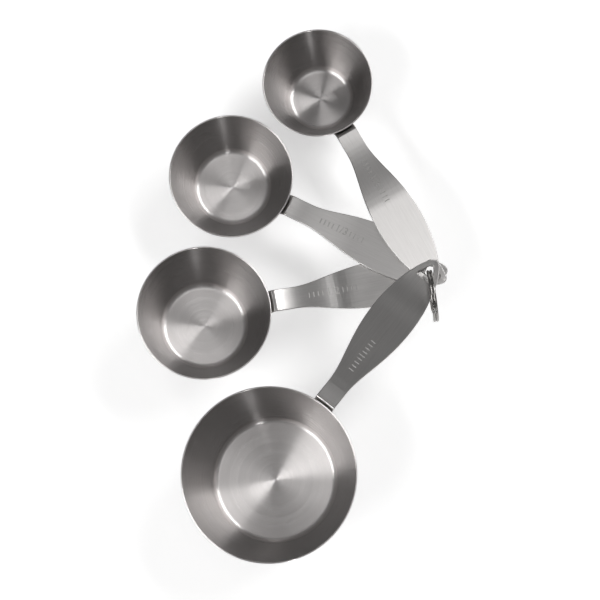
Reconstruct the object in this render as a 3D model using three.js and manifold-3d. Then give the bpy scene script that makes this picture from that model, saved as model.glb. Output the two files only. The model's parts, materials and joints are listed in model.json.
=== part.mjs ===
// A set of four brushed steel measuring cups on one split ring, fanned out on a flat surface.
//
// Frame: millimetres, +Z up. The origin is on the surface under the middle of the set.
// Each cup is a bowl and a leaf-shaped strap handle, spot-welded to the bowl's outside wall.
// Every handle has a three-cornered hole near its tip, and one split ring passes through all
// four. The cups swing round the upright stretch of the ring's wire, the ring axis. Each cup's
// group has its own origin on that axis, with +X towards the middle of the cup.

import * as THREE from 'three';
import { mergeVertices } from 'three/addons/utils/BufferGeometryUtils.js';
import Module from 'manifold-3d';

const wasm = await Module();
wasm.setup();

// ---- Driving dimensions ------------------------------------------------------------------

// Each cup: rim diameter, height, radius of the flat base, how far it leans towards its
// handle, the direction from the ring axis to its middle, its place in the stack of handle
// ends counted from the bottom, the level distance from its rim to the middle of its hole,
// where the ring's wire sits in that hole (towards the tip), and how far the level end of
// its handle reaches from the ring axis.
const CUPS = [
  {
    name: 'one_cup', rimDiameter: 92, height: 50.6, baseRadius: 30.6, lean: 0,
    azimuth: 231.6, place: 3, rimToHole: 89, wireSeat: 2, padReach: 15,
  },
  {
    name: 'half_cup', rimDiameter: 71.4, height: 45.8, baseRadius: 20.7, lean: 6,
    azimuth: 190.3, place: 0, rimToHole: 86.4, wireSeat: -1.1, padReach: 44,
  },
  {
    name: 'third_cup', rimDiameter: 67, height: 36.2, baseRadius: 18.2, lean: 4.5,
    azimuth: 152.9, place: 1, rimToHole: 86.2, wireSeat: -1.1, padReach: 44,
  },
  {
    name: 'quarter_cup', rimDiameter: 60, height: 35.6, baseRadius: 15, lean: 0,
    azimuth: 119.1, place: 2, rimToHole: 88.4, wireSeat: 2, padReach: 44,
  },
];

const BOWL_SHEET = 0.8;
const BASE_FILLET = 3; // inside the bowl, where the wall meets the base
const BOWL_SEGMENTS = 72;

const HANDLE_SHEET = 1.5;
const WELD_GAP = 0.3; // between the handle's tab and the bowl's wall
const RIM_DROP = 1.5; // from the rim down to the top of the handle
const TAB_LENGTH = 12; // down the wall from the corner of the bend
const LIFT_LENGTH = 5; // the top of the tab, which slants away from the wall to the bend
const LIFT_GAP = 1.2; // how far it has slanted away at the bend
const LIFT_RADIUS = 8;
const BEND_RADIUS = 2.25; // on the middle line of the sheet
const PAD_BEND_RADIUS = 40;
const HOLE_TO_TIP = 9;

const NECK_HALF_WIDTH = 5.85;
const LEAF_HALF_WIDTH = 12.4;
const NECK_END = 12; // from the rim to where the leaf starts to widen
const LEAF_WIDEST = 59; // from the rim to the widest place
const NECK_PULL = 13; // how far the outline's curves run straight from each of their ends
const LEAF_PULL = 22;
const SHOULDER_PULL = 20;
const TIP_PULL = 5;

const HOLE_BASE = 10.4; // side of the hole nearest the cup
const HOLE_HEIGHT = 10; // from that side to the corner nearest the tip
const HOLE_CORNER = 1.5;

const PRISM_HEIGHT = 60; // of the upright prisms that cut the handles out; taller than any handle

const STACK_BOTTOM = 31; // underside of the lowest handle end
const STACK_PITCH = 2.2; // from one handle end to the next

const RING_OUTER_DIAMETER = 28;
const RING_WIRE = 1.5;
const RING_TURN_SPACING = 1.6;
const RING_AZIMUTH = 277; // from the ring axis to the middle of the ring
const RING_JOG_AT = -130; // middle of the step between the two turns
const RING_JOG_SPREAD = 40;
const RING_INSET = 0.2; // the wire bows this far past the axis at its middle height

const STEEL = { color: 0xb9b7b4, roughness: 0.36, metalness: 1 };
const RING_STEEL = { color: 0xc4c3c1, roughness: 0.22, metalness: 1 };

// ---- Helpers -----------------------------------------------------------------------------

const radians = THREE.MathUtils.degToRad;

function toSolid(geometry) {
  const bare = geometry.clone();
  bare.deleteAttribute('normal');
  bare.deleteAttribute('uv');
  const merged = mergeVertices(bare, 1e-4);
  const vertProperties = new Float32Array(merged.attributes.position.array);
  const triVerts = new Uint32Array(merged.index.array);
  return new wasm.Manifold(new wasm.Mesh({ numProp: 3, vertProperties, triVerts }));
}

function toGeometry(solid) {
  const mesh = solid.getMesh();
  const geometry = new THREE.BufferGeometry();
  geometry.setAttribute('position', new THREE.BufferAttribute(mesh.vertProperties, 3));
  geometry.setIndex(new THREE.BufferAttribute(mesh.triVerts, 1));
  geometry.computeVertexNormals();
  return geometry;
}

function namedMesh(name, geometry, look) {
  const mesh = new THREE.Mesh(geometry, new THREE.MeshStandardMaterial(look));
  mesh.name = name;
  return mesh;
}

// Walks a line of corners and rounds each inner corner with an arc of its own radius.
// Returns points with the unit normal on the left of the walk.
function roundedWalk(corners, radii, arcSteps) {
  const stops = [];
  const addStop = (point, direction) => {
    stops.push({ point, normal: new THREE.Vector2(-direction.y, direction.x) });
  };
  const directions = [];
  for (let i = 0; i + 1 < corners.length; i += 1) {
    directions.push(corners[i + 1].clone().sub(corners[i]).normalize());
  }
  addStop(corners[0], directions[0]);
  for (let i = 1; i + 1 < corners.length; i += 1) {
    const before = directions[i - 1];
    const after = directions[i];
    const turn = Math.atan2(before.cross(after), before.dot(after));
    const side = Math.sign(turn);
    const radius = radii[i - 1];
    const tangent = radius * Math.tan(Math.abs(turn) / 2);
    const start = corners[i].clone().addScaledVector(before, -tangent);
    const toCentre = new THREE.Vector2(-before.y, before.x).multiplyScalar(side * radius);
    const centre = start.clone().add(toCentre);
    for (let step = 0; step <= arcSteps[i - 1]; step += 1) {
      const angle = (turn * step) / arcSteps[i - 1];
      const point = start.clone().rotateAround(centre, angle);
      addStop(point, before.clone().rotateAround(new THREE.Vector2(), angle));
    }
  }
  addStop(corners[corners.length - 1], directions[directions.length - 1]);
  return stops;
}

// ---- Bowls -------------------------------------------------------------------------------

// The wall's lean from the vertical, from the rim to the corner where wall and base would meet.
function wallAngle(cup) {
  const innerRim = cup.rimDiameter / 2 - BOWL_SHEET;
  const depth = cup.height - BOWL_SHEET;
  let angle = 0;
  for (let pass = 0; pass < 8; pass += 1) {
    const tangent = BASE_FILLET * Math.tan((Math.PI / 2 - angle) / 2);
    angle = Math.atan((innerRim - cup.baseRadius - tangent) / depth);
  }
  return angle;
}

// Base fillet from the flat base round to the wall, as points (radius, height).
function filletPoints(cup, radius, centreHeight, steps) {
  const sweep = Math.PI / 2 - wallAngle(cup);
  const points = [];
  for (let step = 0; step <= steps; step += 1) {
    const angle = (sweep * step) / steps;
    points.push(new THREE.Vector2(
      cup.baseRadius + radius * Math.sin(angle),
      centreHeight - radius * Math.cos(angle),
    ));
  }
  return points;
}

function bowlGeometry(cup) {
  const centreHeight = BOWL_SHEET + BASE_FILLET;
  const outside = filletPoints(cup, BASE_FILLET + BOWL_SHEET, centreHeight, 5);
  const inside = filletPoints(cup, BASE_FILLET, centreHeight, 4);
  const rimWidth = BOWL_SHEET / Math.cos(wallAngle(cup));
  const profile = [
    new THREE.Vector2(0, 0),
    ...outside,
    new THREE.Vector2(cup.rimDiameter / 2, cup.height),
    new THREE.Vector2(cup.rimDiameter / 2 - rimWidth, cup.height),
    ...inside.reverse(),
    new THREE.Vector2(0, BOWL_SHEET),
  ];
  const geometry = new THREE.LatheGeometry(profile, BOWL_SEGMENTS);
  return geometry.rotateX(Math.PI / 2);
}

// ---- Handles -----------------------------------------------------------------------------

function rimDistance(cup) {
  return cup.rimToHole + cup.wireSeat;
}

// The leaning bowl turns about the edge of its base that is nearest the ring axis.
function leanPivot(cup) {
  const rimCentre = rimDistance(cup) + cup.rimDiameter / 2;
  const lean = radians(cup.lean);
  return rimCentre - cup.baseRadius * Math.cos(lean) + cup.height * Math.sin(lean);
}

// Middle line of the handle's sheet, from the tab's lower end round the bend to past the tip,
// as points (distance from the ring axis, height). The tab lies along the wall, and slants
// away from it just below the bend.
function handleWalk(cup) {
  const lean = radians(cup.lean);
  const rim = new THREE.Vector2(cup.baseRadius - cup.rimDiameter / 2, cup.height);
  rim.rotateAround(new THREE.Vector2(), lean);
  rim.x += leanPivot(cup);
  const wallLean = wallAngle(cup) + lean;
  const down = new THREE.Vector2(Math.sin(wallLean), -Math.cos(wallLean));
  const away = new THREE.Vector2(-Math.cos(wallLean), -Math.sin(wallLean));
  const besideRim = rim.clone().addScaledVector(away, WELD_GAP + HANDLE_SHEET / 2);
  const fall = (RIM_DROP + HANDLE_SHEET / 2 + besideRim.y - rim.y) / Math.cos(wallLean);
  const bend = besideRim.clone().addScaledVector(down, fall).addScaledVector(away, LIFT_GAP);
  const lift = besideRim.clone().addScaledVector(down, fall + LIFT_LENGTH);
  const tabEnd = besideRim.clone().addScaledVector(down, fall + TAB_LENGTH);
  const padHeight = STACK_BOTTOM + cup.place * STACK_PITCH + HANDLE_SHEET / 2;
  const padStart = new THREE.Vector2(cup.padReach, padHeight);
  const pastTip = new THREE.Vector2(-2 * HOLE_TO_TIP, padHeight);
  const corners = [tabEnd, lift, bend, padStart, pastTip];
  return roundedWalk(corners, [LIFT_RADIUS, BEND_RADIUS, PAD_BEND_RADIUS], [2, 6, 3]);
}

function sheetGeometry(cup) {
  const walk = handleWalk(cup);
  const half = HANDLE_SHEET / 2;
  const upper = walk.map((stop) => stop.point.clone().addScaledVector(stop.normal, -half));
  const lower = walk.map((stop) => stop.point.clone().addScaledVector(stop.normal, half));
  const section = new THREE.Shape([...upper, ...lower.reverse()]);
  const width = 3 * LEAF_HALF_WIDTH;
  const geometry = new THREE.ExtrudeGeometry(section, { depth: width, bevelEnabled: false });
  return geometry.translate(0, 0, -width / 2).rotateX(Math.PI / 2);
}

// Leaf outline seen from above, with the hole's middle at x = 0 and the tip at -X.
function leafShape(cup) {
  const innerEnd = cup.rimToHole + TAB_LENGTH;
  const neckEnd = cup.rimToHole - NECK_END;
  const widest = cup.rimToHole - LEAF_WIDEST;
  const tip = -HOLE_TO_TIP;
  const neck = NECK_HALF_WIDTH;
  const leaf = LEAF_HALF_WIDTH;
  const shape = new THREE.Shape();
  shape.moveTo(innerEnd, -neck);
  shape.lineTo(innerEnd, neck);
  shape.lineTo(neckEnd, neck);
  shape.bezierCurveTo(neckEnd - NECK_PULL, neck, widest + LEAF_PULL, leaf, widest, leaf);
  shape.bezierCurveTo(widest - SHOULDER_PULL, leaf, tip, TIP_PULL, tip, 0);
  shape.bezierCurveTo(tip, -TIP_PULL, widest - SHOULDER_PULL, -leaf, widest, -leaf);
  shape.bezierCurveTo(widest + LEAF_PULL, -leaf, neckEnd - NECK_PULL, -neck, neckEnd, -neck);
  return shape;
}

// Three-cornered hole with its inscribed circle's middle at the origin.
function holeShape() {
  const halfBase = HOLE_BASE / 2;
  const side = Math.hypot(halfBase, HOLE_HEIGHT);
  const inscribed = (halfBase * HOLE_HEIGHT) / (halfBase + side);
  const corners = [
    new THREE.Vector2(inscribed, 0),
    new THREE.Vector2(inscribed, halfBase),
    new THREE.Vector2(inscribed - HOLE_HEIGHT, 0),
    new THREE.Vector2(inscribed, -halfBase),
    new THREE.Vector2(inscribed, 0),
  ];
  const walk = roundedWalk(corners, [HOLE_CORNER, HOLE_CORNER, HOLE_CORNER], [4, 4, 4]);
  walk.pop();
  return new THREE.Shape(walk.map((stop) => stop.point));
}

function uprightPrism(shape, curveSegments) {
  const options = { depth: PRISM_HEIGHT, bevelEnabled: false, curveSegments };
  return toSolid(new THREE.ExtrudeGeometry(shape, options));
}

function handleGeometry(cup) {
  const sheet = toSolid(sheetGeometry(cup));
  const leaf = uprightPrism(leafShape(cup), 10).translate([cup.wireSeat, 0, 0]);
  const hole = uprightPrism(holeShape(), 4).translate([cup.wireSeat, 0, 0]);
  return toGeometry(sheet.intersect(leaf).subtract(hole));
}

// ---- Ring --------------------------------------------------------------------------------

// Two flat turns of wire side by side, joined by one slanting step. The wire's two ends lie
// either side of the step. The ring stands upright in its own XZ plane, middle at the origin.
class SplitRingPath extends THREE.Curve {
  getPoint(t) {
    const first = RING_JOG_AT + RING_JOG_SPREAD / 2;
    const sweep = 720 - RING_JOG_SPREAD;
    const along = t * sweep;
    const angle = radians(first + along);
    const jogStart = 360 - RING_JOG_SPREAD;
    const jog = THREE.MathUtils.smoothstep(along, jogStart, jogStart + RING_JOG_SPREAD);
    const radius = (RING_OUTER_DIAMETER - RING_WIRE) / 2;
    return new THREE.Vector3(
      radius * Math.cos(angle),
      (jog - 0.5) * RING_TURN_SPACING,
      radius * Math.sin(angle),
    );
  }
}

function ringGeometry() {
  const section = new THREE.Shape();
  section.absarc(0, 0, RING_WIRE / 2, 0, 2 * Math.PI);
  return new THREE.ExtrudeGeometry(section, {
    steps: 84,
    curveSegments: 5,
    bevelEnabled: false,
    extrudePath: new SplitRingPath(),
  });
}

// ---- The set -----------------------------------------------------------------------------

function cupGroup(cup) {
  const group = new THREE.Group();
  const leaning = new THREE.Group();
  const bowl = namedMesh(`${cup.name}_bowl`, bowlGeometry(cup), STEEL);
  bowl.position.x = cup.baseRadius;
  leaning.add(bowl);
  leaning.position.x = leanPivot(cup);
  leaning.rotation.y = -radians(cup.lean);
  group.add(leaning, namedMesh(`${cup.name}_handle`, handleGeometry(cup), STEEL));
  group.rotation.z = radians(cup.azimuth);
  return group;
}

function ringGroup() {
  const group = new THREE.Group();
  const ring = namedMesh('split_ring', ringGeometry(), RING_STEEL);
  const stackTop = STACK_BOTTOM + (CUPS.length - 1) * STACK_PITCH + HANDLE_SHEET;
  ring.position.x = (RING_OUTER_DIAMETER - RING_WIRE) / 2 - RING_INSET;
  ring.position.z = (STACK_BOTTOM + stackTop) / 2;
  ring.rotation.z = Math.PI;
  group.add(ring);
  group.rotation.z = radians(RING_AZIMUTH);
  return group;
}

const set = new THREE.Group();
for (const cup of CUPS) {
  set.add(cupGroup(cup));
}
set.add(ringGroup());

// Puts the origin on the surface, under the middle of the whole set.
set.updateMatrixWorld(true);
const box = new THREE.Box3().setFromObject(set, true);
set.position.set(-(box.min.x + box.max.x) / 2, -(box.min.y + box.max.y) / 2, -box.min.z);

export default set;
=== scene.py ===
"""Looks for a set of four brushed steel measuring cups on one split ring.

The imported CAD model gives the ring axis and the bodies. Named lengths are in millimetres, as
in that model, unless a comment says metres; everything that goes to Blender is in metres. Each
cup has a frame of its own, with its origin on the ring axis and +X towards the cup's middle.
"""

import json
import math

import bmesh
import bpy
from mathutils import Matrix, Vector, noise


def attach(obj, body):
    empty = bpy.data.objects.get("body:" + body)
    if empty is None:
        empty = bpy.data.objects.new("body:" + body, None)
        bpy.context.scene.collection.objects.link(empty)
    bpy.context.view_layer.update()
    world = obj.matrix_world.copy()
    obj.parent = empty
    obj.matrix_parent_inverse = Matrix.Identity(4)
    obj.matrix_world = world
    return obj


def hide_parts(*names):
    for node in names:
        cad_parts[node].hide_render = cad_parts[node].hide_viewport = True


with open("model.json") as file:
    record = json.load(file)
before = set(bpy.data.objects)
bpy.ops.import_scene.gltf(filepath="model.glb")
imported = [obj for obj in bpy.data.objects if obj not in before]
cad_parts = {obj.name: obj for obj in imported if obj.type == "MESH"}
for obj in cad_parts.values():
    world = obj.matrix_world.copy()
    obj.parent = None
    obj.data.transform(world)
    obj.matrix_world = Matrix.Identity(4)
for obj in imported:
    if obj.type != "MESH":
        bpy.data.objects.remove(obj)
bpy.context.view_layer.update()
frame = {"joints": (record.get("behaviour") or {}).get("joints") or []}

MM = 0.001

# ---- Dimensions ----------------------------------------------------------------------------

# rim: outer diameter                    base: radius of the flat base
# lean: towards the handle, in degrees   azimuth: direction from the ring axis, in degrees
# place: in the stack of handle ends, counted from the bottom
# rim_to_hole: from the rim to the middle of the hole
# seat: from the ring axis to the middle of the hole
# pad: how far the handle's level end reaches from the ring axis
# pad_bend: radius of the bend there
# sag: how far the strap hangs below straight between its two bends
# mark: the engraved numeral
CUPS = {
    "one_cup": dict(rim=92, height=50.6, base=30.6, lean=0, azimuth=231.6, place=3,
                    rim_to_hole=89, seat=2.0, pad=15, pad_bend=160, sag=0.9, mark="1"),
    "half_cup": dict(rim=71.4, height=45.8, base=20.7, lean=6, azimuth=190.3, place=0,
                     rim_to_hole=86.4, seat=-1.1, pad=44, pad_bend=80, sag=0.6, mark="1/2"),
    "third_cup": dict(rim=67, height=36.2, base=18.2, lean=4.5, azimuth=152.9, place=1,
                      rim_to_hole=86.2, seat=-1.1, pad=44, pad_bend=80, sag=0.9, mark="1/3"),
    "quarter_cup": dict(rim=60, height=35.6, base=15, lean=0, azimuth=119.1, place=2,
                        rim_to_hole=88.4, seat=2.0, pad=44, pad_bend=60, sag=0.6, mark="1/4"),
}

BOWL_SHEET = 0.8
BASE_FILLET = 3.0
RIM_ROUND = 0.3
RIM_INSIDE_BOX = 0.05   # keeps the finely divided rim inside the CAD model's box
LEAN_LIFT = 0.03        # the same for the finely divided foot of a leaning bowl
SUPPORT = 0.15          # distance of a support loop from a rounded corner
BASE_STEP = 0.03        # height of the shallow pressed step in the base
BASE_STEP_AT = 0.86     # of the base's radius
BASE_STEP_WIDTH = 1.2
BASE_HUB = 0.4          # radius of the innermost ring of vertices
WALL_WAVE = 0.035       # how far the drawn wall strays from a true cone
WAVES_ROUND = 1.6       # how often it strays, round the wall and up it
WAVES_UP = 1.3
BOWL_SEGMENTS = 224
FILLET_STEPS = 16
RIM_STEPS = 5
WALL_STEPS = 24
BASE_STEP_STEPS = 12
ANGLE_ROUNDS = 8        # repeats that settle the wall's angle

HANDLE_SHEET = 1.5
HANDLE_EDGE = 0.5       # rounding of the strap's edges
WELD_GAP = 0.06
RIM_DROP = 1.5
TAB_LENGTH = 12.0
TAB_CORNER = 2.5
LIFT_LENGTH = 5.0
LIFT_GAP = 1.2
LIFT_RADIUS = 8.0
BEND_RADIUS = 2.25
SAG_PEAK = 27 / 4       # makes the deepest point of the sag's curve one unit deep
SAG_STEPS = 14
BEND_STEPS = (8, 16, 5)   # in the bends at the level end, at the rim and above the tab
PAST_TIP = 20.0         # how far the strap's middle line runs on past the ring axis
HOLE_TO_TIP = 8.94      # a little short of the CAD model's 9, to stay inside its box
NECK_HALF_WIDTH = 5.85
LEAF_HALF_WIDTH = 12.4
NECK_END = 12.0
LEAF_WIDEST = 59.0
NECK_PULL = 13.0
LEAF_PULL = 22.0
SHOULDER_PULL = 20.0
TIP_PULL = 5.0
HOLE_BASE = 10.4
HOLE_HEIGHT = 10.0
HOLE_CORNER = 1.5
TAB_CORNER_STEPS = 8
NECK_STEPS = 26
TIP_STEPS = 40
HOLE_CORNER_STEPS = 10
EDGE_STEPS = 5

MARK_FROM_RIM = 33.0    # from the rim to the middle of the engraved row
MARK_HEIGHT = 4.5
MARK_DEPTH = 0.22
MARK_CURVE_STEPS = 4
FONT_SCALE = 1.3        # size of the font for a numeral one unit high
TICK_LENGTH = 3.0
TICK_WIDTH = 0.65
TICK_PITCH = 2.4
TICKS_EACH_SIDE = 4
FIRST_TICK = 0.8        # of the pitch, from the numeral

DIMPLE_ROUND = 3.0      # radius of the rounded bottom of a weld dimple
DIMPLE_DEPTH = 0.3
DIMPLE_FROM_END = 3.6
DIMPLE_ASIDE = 2.6
DIMPLE_SEGMENTS = 64
DIMPLE_RINGS = 48
WRAP_SLICES = 15        # lengthwise strips of the tab, so that it can curve round the wall
TAB_WALL_INSET = 2.0    # how much smaller the wall's radius is beside the tab than at the rim

STACK_BOTTOM = 31.0
STACK_PITCH = 2.2

RING_OUTER_DIAMETER = 28.0
RING_WIRE = 1.5
RING_TURN_SPACING = 1.6
RING_AZIMUTH = 277.0
RING_JOG_AT = -130.0
RING_JOG_SPREAD = 40.0
RING_INSET = 0.2
RING_STEPS = 340
WIRE_CORNER = 0.45      # of the wire's thickness
WIRE_CORNER_STEPS = 4
WIRE_END_TRIM = 0.72    # of the wire's thickness, at its two cut ends

BOWL_CREASE = 80        # edges that turn by more degrees than this stay crisp
HANDLE_CREASE = 21
RING_CREASE = 40
FACE_WEIGHT = 90        # how strongly large faces set the shading

MERGE_DISTANCE = 0.001
SLIVER_LENGTH = 0.004   # shorter edges are dissolved after a cut
SLICE_TOLERANCE = 1e-5
SHORTEST_SPAN = 1e-9
ENGRAVED_TOLERANCE = 0.01

RING_AXIS = Vector(frame["joints"][0]["pos_m"][:2]).to_3d()


# ---- Places --------------------------------------------------------------------------------

def wall_angle(cup):
    """The wall's lean from the vertical, in radians."""
    inner_rim = cup["rim"] / 2 - BOWL_SHEET
    depth = cup["height"] - BOWL_SHEET
    angle = 0.0
    for _ in range(ANGLE_ROUNDS):
        tangent = BASE_FILLET * math.tan((math.pi / 2 - angle) / 2)
        angle = math.atan((inner_rim - cup["base"] - tangent) / depth)
    return angle


def lean_pivot(cup):
    """Distance from the ring axis to the edge of the base that a leaning bowl stands on."""
    lean = math.radians(cup["lean"])
    rim_centre = cup["rim_to_hole"] + cup["seat"] + cup["rim"] / 2
    return rim_centre - cup["base"] * math.cos(lean) + cup["height"] * math.sin(lean)


def cup_matrix(azimuth):
    return Matrix.Translation(RING_AXIS) @ Matrix.Rotation(math.radians(azimuth), 4, "Z")


def bowl_matrix(cup):
    lift = LEAN_LIFT if cup["lean"] else 0
    pivot = Matrix.Translation((lean_pivot(cup) * MM, 0, lift * MM))
    lean = Matrix.Rotation(-math.radians(cup["lean"]), 4, "Y")
    centre = Matrix.Translation((cup["base"] * MM, 0, 0))
    return cup_matrix(cup["azimuth"]) @ pivot @ lean @ centre


# ---- Mesh helpers --------------------------------------------------------------------------

def add_object(name, bm, matrix):
    """Makes an object of a bmesh drawn in millimetres in the frame that matrix gives."""
    bmesh.ops.transform(bm, matrix=matrix @ Matrix.Scale(MM, 4), verts=bm.verts)
    bmesh.ops.recalc_face_normals(bm, faces=bm.faces)
    mesh = bpy.data.meshes.new(name)
    bm.to_mesh(mesh)
    bm.free()
    mesh.shade_smooth()
    piece = bpy.data.objects.new(name, mesh)
    bpy.context.scene.collection.objects.link(piece)
    return piece


def arc(centre, radius, start, end, steps):
    """Points on an arc, with angles in radians from +X."""
    points = []
    for step in range(steps + 1):
        angle = start + (end - start) * step / steps
        points.append((centre[0] + radius * math.cos(angle), centre[1] + radius * math.sin(angle)))
    return points


def bezier(p0, p1, p2, p3, steps):
    """Points on a cubic curve, without its last one."""
    points = []
    for step in range(steps):
        t = step / steps
        u = 1 - t
        weights = (u ** 3, 3 * u * u * t, 3 * u * t * t, t ** 3)
        x = sum(w * p[0] for w, p in zip(weights, (p0, p1, p2, p3)))
        y = sum(w * p[1] for w, p in zip(weights, (p0, p1, p2, p3)))
        points.append((x, y))
    return points


def spread(start, end, steps):
    """Points on a straight line, without its ends."""
    points = []
    for step in range(1, steps):
        t = step / steps
        points.append((start[0] + (end[0] - start[0]) * t, start[1] + (end[1] - start[1]) * t))
    return points


def sharpen(piece, degrees):
    """Keeps true edges crisp and weights the other normals by face size."""
    piece.data.set_sharp_from_angle(angle=math.radians(degrees))
    weighted = piece.modifiers.new("weighted", "WEIGHTED_NORMAL")
    weighted.keep_sharp = True
    weighted.weight = FACE_WEIGHT


# ---- Bowls ---------------------------------------------------------------------------------

def bowl_profile(cup):
    """Radius and height round the bowl's section, from the middle underneath to inside."""
    angle = wall_angle(cup)
    base = cup["base"]
    step_at = base * BASE_STEP_AT
    down = -math.pi / 2
    centre = (base, BOWL_SHEET + BASE_FILLET)
    outer_fillet = arc(centre, BASE_FILLET + BOWL_SHEET, down, -angle, FILLET_STEPS)
    inner_fillet = arc(centre, BASE_FILLET, down, -angle, FILLET_STEPS)
    rim = cup["rim"] / 2 - RIM_INSIDE_BOX
    rim_width = BOWL_SHEET / math.cos(angle)
    top = cup["height"] - RIM_INSIDE_BOX
    outer_round = arc((rim - RIM_ROUND, top - RIM_ROUND), RIM_ROUND,
                      -angle, math.pi / 2, RIM_STEPS)
    inner_round = arc((rim - rim_width + RIM_ROUND, top - RIM_ROUND), RIM_ROUND,
                      math.pi / 2, math.pi - angle, RIM_STEPS)

    def base_line(height):
        """From the middle outward, over the shallow step, to the foot of the fillet."""
        line = [(BASE_HUB, height + BASE_STEP), (step_at / 2, height + BASE_STEP)]
        line.append((step_at - BASE_STEP_WIDTH, height + BASE_STEP))
        for k in range(BASE_STEP_STEPS + 1):
            turn = math.pi * k / BASE_STEP_STEPS
            out = step_at - BASE_STEP_WIDTH * 0.5 * math.cos(turn)
            line.append((out, height + BASE_STEP * (1 + math.cos(turn)) / 2))
        line.append((step_at + BASE_STEP_WIDTH, height))
        line.append((base - SUPPORT, height))
        return line

    def wall_line(start, end, steps):
        """Between two rounded corners, with a support loop beside each."""
        reach = math.hypot(end[0] - start[0], end[1] - start[1])
        share = SUPPORT / reach
        beside = (start[0] + (end[0] - start[0]) * share, start[1] + (end[1] - start[1]) * share)
        before = (end[0] + (start[0] - end[0]) * share, end[1] + (start[1] - end[1]) * share)
        return [beside] + spread(beside, before, steps) + [before]

    outer_wall = wall_line(outer_fillet[-1], outer_round[0], WALL_STEPS)
    inner_wall = wall_line(inner_round[-1], inner_fillet[-1], WALL_STEPS)
    inside = inner_fillet[::-1] + base_line(BOWL_SHEET)[::-1]
    return base_line(0) + outer_fillet + outer_wall + outer_round + inner_round + inner_wall + inside


def wall_wave(cup, angle, height):
    """How far the wall strays outward from its cone. The rim and the base stay true."""
    share = height / cup["height"]
    free = max(0.0, math.sin(math.pi * min(1.0, share)))
    place = Vector((
        math.cos(angle) * WAVES_ROUND,
        math.sin(angle) * WAVES_ROUND,
        share * WAVES_UP + cup["rim"],
    ))
    return -abs(noise.noise(place)) * 2 * WALL_WAVE * free


def make_bowl(name, cup):
    """Turns the profile round the bowl's axis and closes it with a fan at each end."""
    profile = bowl_profile(cup)
    bm = bmesh.new()
    rings = []
    for radius, height in profile:
        ring = []
        for k in range(BOWL_SEGMENTS):
            angle = 2 * math.pi * k / BOWL_SEGMENTS
            r = radius + wall_wave(cup, angle, height)
            ring.append(bm.verts.new((r * math.cos(angle), r * math.sin(angle), height)))
        rings.append(ring)
    for low, high in zip(rings, rings[1:]):
        for k in range(BOWL_SEGMENTS):
            following = (k + 1) % BOWL_SEGMENTS
            bm.faces.new((low[k], low[following], high[following], high[k]))
    for ring, height in ((rings[0], profile[0][1]), (rings[-1], profile[-1][1])):
        middle = bm.verts.new((0, 0, height))
        for k in range(BOWL_SEGMENTS):
            bm.faces.new((middle, ring[k], ring[(k + 1) % BOWL_SEGMENTS]))
    piece = add_object(f"{name}_bowl_steel", bm, bowl_matrix(cup))
    sharpen(piece, BOWL_CREASE)
    return piece


# ---- Handles -------------------------------------------------------------------------------

def rounded_walk(corners, radii, steps):
    """Walks a line of corners and rounds each inner one. Returns points and left-hand normals."""
    directions = [(b - a).normalized() for a, b in zip(corners, corners[1:])]

    def stop(point, direction):
        return point, Vector((-direction.y, direction.x))

    stops = [stop(corners[0], directions[0])]
    for k, (radius, count) in enumerate(zip(radii, steps)):
        before, after = directions[k], directions[k + 1]
        turn = math.atan2(before.cross(after), before.dot(after))
        start = corners[k + 1] - before * radius * math.tan(abs(turn) / 2)
        to_centre = Vector((-before.y, before.x)) * math.copysign(radius, turn)
        for step in range(count + 1):
            turned = Matrix.Rotation(turn * step / count, 2)
            point = start + to_centre - turned @ to_centre
            stops.append(stop(point, turned @ before))
    return stops + [stop(corners[-1], directions[-1])]


def hang(start, end, sag, share):
    """A stop part of the way along a straight stretch that sags, most of it near its end."""
    along = end[0] - start[0]
    drop = sag * SAG_PEAK * share ** 2 * (1 - share)
    slope = sag * SAG_PEAK * (2 * share - 3 * share ** 2)
    direction = (along - start[1] * slope).normalized()
    return start[0] + along * share - start[1] * drop, Vector((-direction.y, direction.x))


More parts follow.
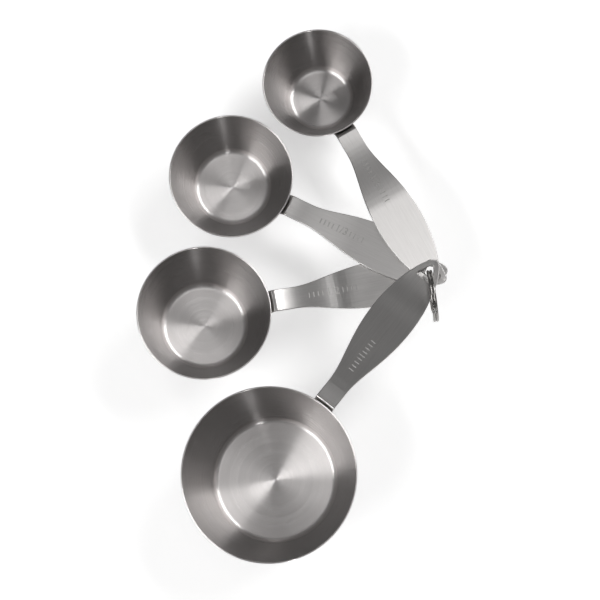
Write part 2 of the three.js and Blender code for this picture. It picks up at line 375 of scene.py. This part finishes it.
class Spine:
    """The middle line of a strap, seen from the side, from past the tip to the tab's end.

    A place on it is the level distance from the ring axis, as far as the bend at the rim. From
    there on it is the length of strap.
    """

    def __init__(self, cup):
        lean = math.radians(cup["lean"])
        wall = wall_angle(cup) + lean
        rim_x = cup["base"] - cup["rim"] / 2
        rim = Vector((
            lean_pivot(cup) + rim_x * math.cos(lean) - cup["height"] * math.sin(lean),
            rim_x * math.sin(lean) + cup["height"] * math.cos(lean),
        ))
        down = Vector((math.sin(wall), -math.cos(wall)))
        self.away = Vector((-math.cos(wall), -math.sin(wall)))
        beside = rim + self.away * (WELD_GAP + HANDLE_SHEET / 2)
        fall = (RIM_DROP + HANDLE_SHEET / 2 + beside.y - rim.y) / math.cos(wall)
        bend = beside + down * fall + self.away * LIFT_GAP
        lift = beside + down * (fall + LIFT_LENGTH)
        tab_end = beside + down * (fall + TAB_LENGTH)
        pad_height = STACK_BOTTOM + cup["place"] * STACK_PITCH + HANDLE_SHEET / 2
        past_tip = Vector((-PAST_TIP, pad_height))
        corners = [past_tip, Vector((cup["pad"], pad_height)), bend, lift, tab_end]
        stops = rounded_walk(corners, (cup["pad_bend"], BEND_RADIUS, LIFT_RADIUS), BEND_STEPS)
        slope_start = 1 + BEND_STEPS[0]
        slope_end = slope_start + 1
        shares = [k / SAG_STEPS for k in range(1, SAG_STEPS)]
        hanging = [hang(stops[slope_start], stops[slope_end], cup["sag"], share) for share in shares]
        self.stops = stops[:slope_end] + hanging + stops[slope_end:]
        first_of_bend = slope_end + len(hanging)
        self.bend_start = self.stops[first_of_bend][0].x
        self.places = [point.x for point, _ in self.stops[:first_of_bend + 1]]
        for before, after in zip(self.stops[first_of_bend:], self.stops[first_of_bend + 1:]):
            self.places.append(self.places[-1] + (after[0] - before[0]).length)
        self.end = self.places[-1]

    def at(self, place):
        """The point and the upward normal there."""
        for k in range(1, len(self.places)):
            if place <= self.places[k] or k == len(self.places) - 1:
                span = self.places[k] - self.places[k - 1]
                share = (place - self.places[k - 1]) / span if span > SHORTEST_SPAN else 0
                (p0, n0), (p1, n1) = self.stops[k - 1], self.stops[k]
                return p0.lerp(p1, share), n0.lerp(n1, share).normalized()


def leaf_outline(cup, spine):
    """The flat blank's outline, anticlockwise, with the ring axis at the origin."""
    neck_end = cup["rim_to_hole"] - NECK_END + cup["seat"]
    widest = cup["rim_to_hole"] - LEAF_WIDEST + cup["seat"]
    tip = -HOLE_TO_TIP + cup["seat"]
    neck, leaf = NECK_HALF_WIDTH, LEAF_HALF_WIDTH
    corner = (spine.end - TAB_CORNER, neck - TAB_CORNER)
    half = arc(corner, TAB_CORNER, 0, math.pi / 2, TAB_CORNER_STEPS)
    half += bezier((neck_end, neck), (neck_end - NECK_PULL, neck), (widest + LEAF_PULL, leaf),
                   (widest, leaf), NECK_STEPS)
    half += bezier((widest, leaf), (widest - SHOULDER_PULL, leaf), (tip, TIP_PULL),
                   (tip, 0), TIP_STEPS)
    mirrored = [(x, -y) for x, y in reversed(half)]
    return half + [(tip, 0)] + mirrored


def hole_outline(cup):
    """The three-cornered hole, anticlockwise, with rounded corners."""
    half_base = HOLE_BASE / 2
    side = math.hypot(half_base, HOLE_HEIGHT)
    inscribed = half_base * HOLE_HEIGHT / (half_base + side)
    back = inscribed + cup["seat"]
    corners = [Vector((back, half_base)), Vector((back - HOLE_HEIGHT, 0)), Vector((back, -half_base))]
    points = []
    for k, corner in enumerate(corners):
        before = (corner - corners[k - 1]).normalized()
        after = (corners[(k + 1) % 3] - corner).normalized()
        turn = before.angle(after)
        start = corner - before * HOLE_CORNER * math.tan(turn / 2)
        centre = start + Vector((-before.y, before.x)) * HOLE_CORNER
        first = math.atan2(start.y - centre.y, start.x - centre.x)
        points += arc(centre, HOLE_CORNER, first, first + turn, HOLE_CORNER_STEPS)
    return points


def inset(points, distance):
    """Moves a closed anticlockwise outline inward, or outward where distance is negative."""
    moved = []
    for k, point in enumerate(points):
        before, after = Vector(points[k - 1]), Vector(points[(k + 1) % len(points)])
        along = (after - before).normalized()
        moved.append((point[0] - along.y * distance, point[1] + along.x * distance))
    return moved


def edge_walls(bm, outline, inward):
    """Builds the rounded edge along an outline. Returns the edges of its two flat borders."""
    half = HANDLE_SHEET / 2
    quarter = arc((0, 0), HANDLE_EDGE, 0, math.pi / 2, EDGE_STEPS)
    section = [(HANDLE_EDGE - c, half - HANDLE_EDGE + s) for c, s in quarter]
    section = [(d, -z) for d, z in reversed(section)] + section
    loops = []
    for distance, z in section:
        loop = [bm.verts.new((x, y, z)) for x, y in inset(outline, inward * distance)]
        loops.append(loop)
    for low, high in zip(loops, loops[1:]):
        for k in range(len(low)):
            bm.faces.new((low[k - 1], low[k], high[k], high[k - 1]))
    borders = []
    for loop in (loops[0], loops[-1]):
        borders.append([bm.edges.get((loop[k - 1], loop[k])) for k in range(len(loop))])
    return borders


def flat_blank(cup, spine):
    """The strap before it is bent, with its hole and rounded edges."""
    bm = bmesh.new()
    outer = edge_walls(bm, leaf_outline(cup, spine), 1)
    hole = edge_walls(bm, hole_outline(cup), -1)
    for outer_edges, hole_edges in zip(outer, hole):
        bmesh.ops.triangle_fill(bm, use_beauty=True, edges=outer_edges + hole_edges)
    return bm


def add_numeral(bm, cup):
    """Adds the cup's numeral as a solid in the middle of the engraved row."""
    curve = bpy.data.curves.new("mark", "FONT")
    curve.body = cup["mark"]
    curve.align_x = "CENTER"
    curve.align_y = "CENTER"
    curve.size = MARK_HEIGHT * FONT_SCALE
    curve.extrude = HANDLE_SHEET
    curve.resolution_u = MARK_CURVE_STEPS
    text = bpy.data.objects.new("mark", curve)
    bm.from_mesh(text.to_mesh())
    text.to_mesh_clear()
    bpy.data.objects.remove(text)
    bmesh.ops.remove_doubles(bm, verts=bm.verts, dist=MERGE_DISTANCE)


def add_ticks(bm):
    """Adds a row of plain ticks on each side of the numeral."""
    half_text = max(abs(v.co.x) for v in bm.verts)
    for side in (-1, 1):
        for k in range(TICKS_EACH_SIDE):
            x = side * (half_text + TICK_PITCH * (k + FIRST_TICK))
            size = Matrix.Diagonal((TICK_WIDTH, TICK_LENGTH, 2 * HANDLE_SHEET, 1))
            bmesh.ops.create_cube(bm, size=1, matrix=Matrix.Translation((x, 0, 0)) @ size)


def add_dimples(bm, spine):
    """Adds a ball for each dimple that the welding leaves on the back of the tab."""
    below = -HANDLE_SHEET / 2 - DIMPLE_ROUND + DIMPLE_DEPTH
    for side in (-1, 1):
        spot = Matrix.Translation((spine.end - DIMPLE_FROM_END, side * DIMPLE_ASIDE, below))
        bmesh.ops.create_uvsphere(bm, u_segments=DIMPLE_SEGMENTS, v_segments=DIMPLE_RINGS,
                                  radius=DIMPLE_ROUND, matrix=spot)


def cutter(cup, spine):
    """All that is cut out of the blank."""
    bm = bmesh.new()
    add_numeral(bm, cup)
    add_ticks(bm)
    middle = cup["rim_to_hole"] + cup["seat"] - MARK_FROM_RIM
    lift = HANDLE_SHEET / 2 + HANDLE_SHEET - MARK_DEPTH
    place = Matrix.Translation((middle, 0, lift)) @ Matrix.Rotation(math.pi, 4, "Z")
    bmesh.ops.transform(bm, matrix=place, verts=bm.verts)
    add_dimples(bm, spine)
    bmesh.ops.recalc_face_normals(bm, faces=bm.faces)
    return bm


def cut(blank, tool):
    """The first bmesh with the second cut out of it."""
    objects = []
    for bm in (blank, tool):
        mesh = bpy.data.meshes.new("cut")
        bmesh.ops.recalc_face_normals(bm, faces=bm.faces)
        bm.to_mesh(mesh)
        bm.free()
        obj = bpy.data.objects.new("cut", mesh)
        bpy.context.scene.collection.objects.link(obj)
        objects.append(obj)
    modifier = objects[0].modifiers.new("cut", "BOOLEAN")
    modifier.operation = "DIFFERENCE"
    modifier.solver = "EXACT"
    modifier.object = objects[1]
    evaluated = objects[0].evaluated_get(bpy.context.evaluated_depsgraph_get())
    result = bmesh.new()
    result.from_mesh(evaluated.to_mesh())
    evaluated.to_mesh_clear()
    bmesh.ops.dissolve_degenerate(result, dist=SLIVER_LENGTH, edges=result.edges)
    for obj in objects:
        mesh = obj.data
        bpy.data.objects.remove(obj)
        bpy.data.meshes.remove(mesh)
    return result


def slice_across(bm, places):
    """Cuts the flat blank across at each place, so that it can bend there."""
    bmesh.ops.triangulate(bm, faces=bm.faces)
    for x in places:
        geometry = bm.verts[:] + bm.edges[:] + bm.faces[:]
        bmesh.ops.bisect_plane(bm, geom=geometry, dist=SLICE_TOLERANCE,
                               plane_co=(x, 0, 0), plane_no=(1, 0, 0))


def slice_tab(bm, start):
    """Cuts the tab lengthwise."""
    for k in range(1, WRAP_SLICES):
        y = NECK_HALF_WIDTH * (2 * k / WRAP_SLICES - 1)
        faces = [face for face in bm.faces if face.calc_center_median().x > start]
        edges = {edge for face in faces for edge in face.edges}
        verts = {vert for face in faces for vert in face.verts}
        geometry = list(verts) + list(edges) + faces
        bmesh.ops.bisect_plane(bm, geom=geometry, dist=SLICE_TOLERANCE,
                               plane_co=(0, y, 0), plane_no=(0, 1, 0))
    bmesh.ops.triangulate(bm, faces=bm.faces)


def make_handle(name, cup):
    """Cuts the flat blank, then bends it along its middle line and round the bowl's wall."""
    spine = Spine(cup)
    bm = cut(flat_blank(cup, spine), cutter(cup, spine))
    slice_across(bm, spine.places[1:-1])
    slice_tab(bm, spine.bend_start)
    engraved = HANDLE_SHEET / 2 - MARK_DEPTH
    for face in bm.faces:
        if all(abs(v.co.z - engraved) < ENGRAVED_TOLERANCE for v in face.verts):
            face.material_index = 1
    wall_radius = cup["rim"] / 2 - TAB_WALL_INSET
    tab_start = spine.places[-2]
    for v in bm.verts:
        point, up = spine.at(v.co.x)
        lifted = point + up * v.co.z
        wrapped = min(1.0, max(0.0, (v.co.x - spine.bend_start) / (tab_start - spine.bend_start)))
        wrap = wrapped * (wall_radius - math.sqrt(wall_radius ** 2 - v.co.y ** 2))
        lifted = lifted - spine.away * wrap
        v.co = Vector((lifted.x, v.co.y, lifted.y))
    piece = add_object(f"{name}_handle_steel", bm, cup_matrix(cup["azimuth"]))
    sharpen(piece, HANDLE_CREASE)
    return piece


# ---- Split ring ----------------------------------------------------------------------------

def wire_section():
    """Outline of the flattened wire, as (outward, along the ring's axis)."""
    half, corner = RING_WIRE / 2, WIRE_CORNER * RING_WIRE
    points = []
    for k, (sx, sy) in enumerate(((1, 1), (-1, 1), (-1, -1), (1, -1))):
        centre = (sx * (half - corner), sy * (half - corner))
        points += arc(centre, corner, k * math.pi / 2, (k + 1) * math.pi / 2, WIRE_CORNER_STEPS)
    return points


def make_ring():
    """Two flat turns of wire joined by a slanting step, with the wire's ends beside the step."""
    radius = (RING_OUTER_DIAMETER - RING_WIRE) / 2
    sweep = 720 - RING_JOG_SPREAD
    jog_start = 360 - RING_JOG_SPREAD
    section = wire_section()
    bm = bmesh.new()
    rings = []
    for k in range(RING_STEPS + 1):
        along = sweep * k / RING_STEPS
        t = min(1.0, max(0.0, (along - jog_start) / RING_JOG_SPREAD))
        aside = (t * t * (3 - 2 * t) - 0.5) * RING_TURN_SPACING
        angle = math.radians(RING_JOG_AT + RING_JOG_SPREAD / 2 + along)
        trim = WIRE_END_TRIM if k in (0, RING_STEPS) else 1.0
        ring = []
        for outward, axial in section:
            reach = radius + outward * trim
            ring.append(bm.verts.new((
                reach * math.cos(angle), aside + axial * trim, reach * math.sin(angle))))
        rings.append(ring)
    for low, high in zip(rings, rings[1:]):
        for k in range(len(section)):
            bm.faces.new((low[k - 1], low[k], high[k], high[k - 1]))
    bm.faces.new(rings[0])
    bm.faces.new(rings[-1])
    stack_top = STACK_BOTTOM + (len(CUPS) - 1) * STACK_PITCH + HANDLE_SHEET
    centre = Vector((radius - RING_INSET, 0, (STACK_BOTTOM + stack_top) / 2)) * MM
    place = cup_matrix(RING_AZIMUTH) @ Matrix.Translation(centre) @ Matrix.Rotation(math.pi, 4, "Z")
    piece = add_object("split_ring_wire", bm, place)
    sharpen(piece, RING_CREASE)
    return piece


# ---- Materials -----------------------------------------------------------------------------

# A look's colour is that of unworn steel, and shade is how dark the worn steel is beside it. The
# straps' colour holds painted shade, darker than the bowls' though they are the same steel.
# Roughness runs from unworn to worn, and stretch is how far the brushing draws highlights out.
# The scales are in cells per metre. The bowl look's last value is painted shade: the share of its
# colour that the wall keeps beside floor and rim.
BOWL_LOOK = dict(colour=(0.80, 0.77, 0.76), shade=0.72, roughness=(0.24, 0.34), stretch=1.0,
                 bump=0.25, line_scale=2200.0, band_scale=620.0, turn_detail=0.0012, dim=0.6)
# painted shade: the strap colour is darker than the bowl colour, though both are the same steel
STRAP_LOOK = dict(colour=(0.62, 0.605, 0.595), shade=0.8, roughness=(0.30, 0.42), stretch=0.95,
                  bump=0.25, line_scale=2600.0, band_scale=700.0)
ETCHED_LOOK = dict(colour=(0.50, 0.49, 0.48), shade=0.85, roughness=(0.5, 0.65), stretch=0.0,
                   bump=0.5, line_scale=2500.0, line_detail=3.0, cloud_scale=200.0)
RING_LOOK = dict(colour=(0.32, 0.31, 0.30), shade=0.8, roughness=(0.12, 0.24), stretch=0.0,
                 bump=0.1, line_scale=900.0, line_detail=4.0, cloud_scale=120.0)

FINE_LINES = dict(detail=5.0, Roughness=0.7)
BROAD_BANDS = dict(detail=3.0, Roughness=0.6)
BAND_SHARE = 0.65
CLOUD_SHARE = 0.35
CLOUD_SCALE = 70.0
CLOUD_DETAIL = 2.0
LINE_WEAR = 0.6         # how much of the wear follows the lines, and how much the patches
PATCH_WEAR = 0.4
WEAR_RANGE = (0.3, 0.7)   # noise seldom goes beyond this
STRAP_STRETCH = 0.03    # fineness of the lines along the strap, as a share of that across it
BRUSH_TURN = 0.25       # turns the tangent, so that highlights stretch across the lines
BUMP_HEIGHT = 0.00002   # metres
NEAR_AXIS = 1e-4        # metres; no radius is taken to be smaller
PAINTED_SHADE_ABOVE_BASE = (2.4, 5.0)   # the wall's painted shade sets in between these heights
PAINTED_SHADE_BELOW_RIM = (0.5, 0.2)    # and ends between these depths

FLOOR_GLOW = 0.45
PAPER_TONE = (0.86, 0.9)
PAPER_GRAIN = 400.0
PAPER_DETAIL = 3.0
PAPER_ROUGHNESS = 0.9


class Graph:
    """A short way to write a material's nodes.

    Steel is brushed along lines of its own, so every material knows the frame of its piece.
    """

    def __init__(self, name, matrix):
        self.material = bpy.data.materials.new(name)
        self.material.use_nodes = True
        self.tree = self.material.node_tree
        self.tree.nodes.clear()
        self.matrix = matrix

    def add(self, kind, settings=None, **inputs):
        """Adds a node. An input is named, with _ for a space, or _0, _1 and so on by its place."""
        made = self.tree.nodes.new(kind)
        for key, value in (settings or {}).items():
            setattr(made, key, value)
        for key, value in inputs.items():
            by_place = key[0] == "_"
            socket = made.inputs[int(key[1:])] if by_place else made.inputs[key.replace("_", " ")]
            if isinstance(value, bpy.types.NodeSocket):
                self.tree.links.new(value, socket)
            else:
                socket.default_value = value
        return made

    def maths(self, operation, a, b=0.0, c=0.0):
        return self.add("ShaderNodeMath", {"operation": operation}, _0=a, _1=b, _2=c).outputs[0]

    def vectors(self, operation, a, b=(0, 0, 0)):
        made = self.add("ShaderNodeVectorMath", {"operation": operation}, _0=a, _1=b)
        return made.outputs["Value" if operation in ("DOT_PRODUCT", "LENGTH") else "Vector"]

    def join(self, x, y, z):
        return self.add("ShaderNodeCombineXYZ", None, _0=x, _1=y, _2=z).outputs[0]

    def local(self):
        """The point's x, y and z in the piece's own frame, in metres, and its vector from there."""
        place = self.add("ShaderNodeTexCoord").outputs["Object"]
        arm = self.vectors("SUBTRACT", place, tuple(self.matrix.translation))
        axes = [self.matrix.to_3x3().col[k] for k in range(3)]
        return [self.vectors("DOT_PRODUCT", arm, tuple(axis)) for axis in axes] + [arm]

    def to_world(self, vector):
        settings = {"vector_type": "VECTOR", "convert_from": "OBJECT", "convert_to": "WORLD"}
        return self.add("ShaderNodeVectorTransform", settings, Vector=vector).outputs[0]

    def spread(self, value, low, high, start=0.0, end=1.0):
        """Maps start to end onto low to high."""
        made = self.add("ShaderNodeMapRange", None, Value=value, To_Min=low, To_Max=high,
                        From_Min=start, From_Max=end)
        return made.outputs[0]

    def noise(self, vector, scale, detail, dimensions="3D", **inputs):
        made = self.add("ShaderNodeTexNoise", {"noise_dimensions": dimensions}, Vector=vector,
                        Scale=scale, Detail=detail, **inputs)
        return made.outputs[0]


def finish_steel(graph, look, lines, patches, tangent, painted_shade_mask=None, least=1.0):
    """The shader that all the steel shares: fine lines, cloudy patches, long highlights.

    Where a mask of painted shade is given, it runs from 0 to 1 and darkens the colour towards that
    share, least.
    """
    wear = graph.maths("ADD", graph.maths("MULTIPLY", lines, LINE_WEAR),
                       graph.maths("MULTIPLY", patches, PATCH_WEAR))
    roughness = graph.spread(wear, *look["roughness"], *WEAR_RANGE)
    darker = [c * look["shade"] for c in look["colour"]]
    tone = graph.spread(wear, 0.0, 1.0, *WEAR_RANGE)
    colour = graph.add("ShaderNodeMix", {"data_type": "RGBA"}, _0=tone,
                       _6=(*look["colour"], 1), _7=(*darker, 1)).outputs[2]
    # painted shade where a mask is given
    if painted_shade_mask is not None:
        keep = graph.spread(painted_shade_mask, 1.0, least)
        colour = graph.vectors("MULTIPLY", colour, graph.join(keep, keep, keep))
    bump = graph.add("ShaderNodeBump", None, Strength=look["bump"], Distance=BUMP_HEIGHT,
                     Height=lines).outputs[0]
    shader = graph.add("ShaderNodeBsdfPrincipled", None, Base_Color=colour, Metallic=1.0,
                       Roughness=roughness, Anisotropic=look["stretch"],
                       Anisotropic_Rotation=BRUSH_TURN, Normal=bump, Tangent=tangent)
    graph.add("ShaderNodeOutputMaterial", None, Surface=shader.outputs[0])
    return graph.material


def cloudy(graph, bands, arm):
    """Patches made of bands along the brushing and soft clouds."""
    clouds = graph.maths("MULTIPLY", graph.noise(arm, CLOUD_SCALE, CLOUD_DETAIL), CLOUD_SHARE)
    return graph.maths("MULTIPLY_ADD", bands, BAND_SHARE, clouds)


def bowl_steel(name, look, matrix, cup):
    """Steel brushed in rings round the bowl's axis, with painted shade that makes the wall darker
    than floor and rim.
    """
    graph = Graph(name, matrix)
    x, y, z, arm = graph.local()
    radius = graph.maths("SQRT", graph.maths("MULTIPLY_ADD", x, x, graph.maths("MULTIPLY", y, y)))
    safe = graph.maths("MAXIMUM", radius, NEAR_AXIS)
    turns = look["turn_detail"]
    across = graph.maths("MULTIPLY", graph.maths("DIVIDE", x, safe), turns)
    around = graph.maths("MULTIPLY", graph.maths("DIVIDE", y, safe), turns * look["line_scale"])
    lines = graph.noise(graph.join(radius, z, across), look["line_scale"], dimensions="4D",
                        W=around, **FINE_LINES)
    bands = graph.noise(graph.join(radius, z, 0.0), look["band_scale"], **BROAD_BANDS)
    patches = cloudy(graph, bands, arm)
    axis = tuple(matrix.to_3x3().col[2])
    circling = graph.to_world(graph.vectors("CROSS_PRODUCT", axis, arm))
    # painted shade on the wall, between the fillet at the floor and just below the rim, which keep
    # the full colour
    heights = [height * MM for height in PAINTED_SHADE_ABOVE_BASE]
    depths = [(cup["height"] - depth) * MM for depth in PAINTED_SHADE_BELOW_RIM]
    above_floor = graph.spread(z, 0.0, 1.0, *heights)
    below_rim = graph.spread(z, 1.0, 0.0, *depths)
    painted_shade_on_wall = graph.maths("MULTIPLY", above_floor, below_rim)
    return finish_steel(graph, look, lines, patches, circling, painted_shade_on_wall, look["dim"])


def strap_steel(name, look, matrix):
    """Steel brushed along the handle."""
    graph = Graph(name, matrix)
    x, y, z, arm = graph.local()
    along_strap = graph.maths("MULTIPLY", x, STRAP_STRETCH)
    upward = graph.maths("MULTIPLY", z, STRAP_STRETCH)
    stretched = graph.join(along_strap, y, upward)
    lines = graph.noise(stretched, look["line_scale"], **FINE_LINES)
    bands = graph.noise(stretched, look["band_scale"], **BROAD_BANDS)
    patches = cloudy(graph, bands, arm)
    along = graph.to_world(tuple(matrix.to_3x3().col[0]))
    return finish_steel(graph, look, lines, patches, along)


def scattered_steel(name, look, matrix):
    """Steel without a brushing direction: the floor of the marks, and scuffed spring wire."""
    graph = Graph(name, matrix)
    arm = graph.local()[3]
    lines = graph.noise(arm, look["line_scale"], look["line_detail"])
    patches = graph.noise(arm, look["cloud_scale"], CLOUD_DETAIL)
    return finish_steel(graph, look, lines, patches, graph.to_world((0, 1, 0)))


def floor_paper():
    """White paper that glows a little, so that shadows on it stay pale."""
    graph = Graph("floor_paper", Matrix.Identity(4))
    grain = graph.noise(graph.local()[3], PAPER_GRAIN, PAPER_DETAIL)
    tone = graph.spread(grain, *PAPER_TONE)
    shader = graph.add("ShaderNodeBsdfPrincipled", None, Base_Color=tone, Roughness=PAPER_ROUGHNESS,
                       Emission_Color=(1, 1, 1, 1), Emission_Strength=FLOOR_GLOW)
    graph.add("ShaderNodeOutputMaterial", None, Surface=shader.outputs[0])
    return graph.material


# ---- The set -------------------------------------------------------------------------------

for cup_name, cup_sizes in CUPS.items():
    bowl = make_bowl(cup_name, cup_sizes)
    bowl.data.materials.append(bowl_steel(
        f"{cup_name}_brushed_bowl", BOWL_LOOK, bowl_matrix(cup_sizes), cup_sizes))
    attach(bowl, cup_name)
    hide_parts(f"{cup_name}_bowl")
    handle = make_handle(cup_name, cup_sizes)
    strap_matrix = cup_matrix(cup_sizes["azimuth"])
    handle.data.materials.append(
        strap_steel(f"{cup_name}_brushed_strap", STRAP_LOOK, strap_matrix))
    handle.data.materials.append(
        scattered_steel(f"{cup_name}_etched", ETCHED_LOOK, strap_matrix))
    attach(handle, cup_name)
    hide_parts(f"{cup_name}_handle")

ring = make_ring()
ring.data.materials.append(scattered_steel("spring_wire", RING_LOOK, cup_matrix(RING_AZIMUTH)))
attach(ring, "split_ring")
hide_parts("split_ring")


# ---- Floor, light and camera ---------------------------------------------------------------

CAMERA_AT = Vector((0.062, -0.158, 1.026))    # metres
CAMERA_AIM = Vector((0.003, -0.004, 0.030))
CAMERA_ROLL = math.radians(-1)
CAMERA_LENS = 113.0
CAMERA_SENSOR = 36.0
CAMERA_REACH = 20.0     # metres

FLOOR_REACH = 3000      # half of its width
FLOOR_GAP = 0.2         # how far it lies below the bowls' bases
FLOOR_CELLS = 8

# Two softboxes face each other across the set, a narrow strip stands at its foot, and a square
# one hangs overhead. For each: direction and height as seen from the set in degrees, distance,
# width and height in metres, and strength.
LAMPS = {
    "key": (35, 50, 1.6, 0.9, 0.4, 2.5),
    "left": (210, 52, 1.6, 0.9, 0.4, 2.4),
    "strip": (280, 25, 1.6, 0.06, 0.8, 6.0),
    "overhead": (0, 85, 1.6, 0.5, 0.5, 0.5),
}
LAMP_POWER = 10         # of a square metre of lamp at strength 1
WORLD_GREY = (0.9, 0.9, 0.9, 1)
WORLD_STRENGTH = 0.2


def make_floor():
    bm = bmesh.new()
    bmesh.ops.create_grid(bm, x_segments=FLOOR_CELLS, y_segments=FLOOR_CELLS, size=FLOOR_REACH)
    floor = add_object("floor", bm, Matrix.Translation((0, 0, -FLOOR_GAP * MM)))
    floor.data.materials.append(floor_paper())


def make_camera():
    backward = (CAMERA_AT - CAMERA_AIM).normalized()
    level = Vector((math.cos(CAMERA_ROLL), math.sin(CAMERA_ROLL), 0))
    right = (level - backward * level.dot(backward)).normalized()
    up = backward.cross(right)
    data = bpy.data.cameras.new("camera")
    data.lens = CAMERA_LENS
    data.sensor_width = CAMERA_SENSOR
    data.clip_end = CAMERA_REACH
    camera = bpy.data.objects.new("camera", data)
    rotation = Matrix((right, up, backward)).transposed().to_4x4()
    camera.matrix_world = Matrix.Translation(CAMERA_AT) @ rotation
    bpy.context.scene.collection.objects.link(camera)
    bpy.context.scene.camera = camera


def make_lamp(name, azimuth, elevation, distance, width, height, strength):
    """A rectangular lamp aimed at the middle of the set."""
    a, e = math.radians(azimuth), math.radians(elevation)
    at = Vector((math.cos(a) * math.cos(e), math.sin(a) * math.cos(e), math.sin(e))) * distance
    data = bpy.data.lights.new(name, "AREA")
    data.shape = "RECTANGLE"
    data.size = width
    data.size_y = height
    data.energy = LAMP_POWER * strength * width * height
    lamp = bpy.data.objects.new(name, data)
    lamp.location = at
    lamp.rotation_euler = at.to_track_quat("Z", "Y").to_euler()
    bpy.context.scene.collection.objects.link(lamp)


def make_world():
    """A dim grey studio all round."""
    world = bpy.data.worlds.new("studio")
    world.use_nodes = True
    background = world.node_tree.nodes["Background"]
    background.inputs["Color"].default_value = WORLD_GREY
    background.inputs["Strength"].default_value = WORLD_STRENGTH
    bpy.context.scene.world = world


make_floor()
make_camera()
for lamp_name, lamp_sizes in LAMPS.items():
    make_lamp(lamp_name, *lamp_sizes)
make_world()
bpy.context.scene.view_settings.view_transform = "Standard"
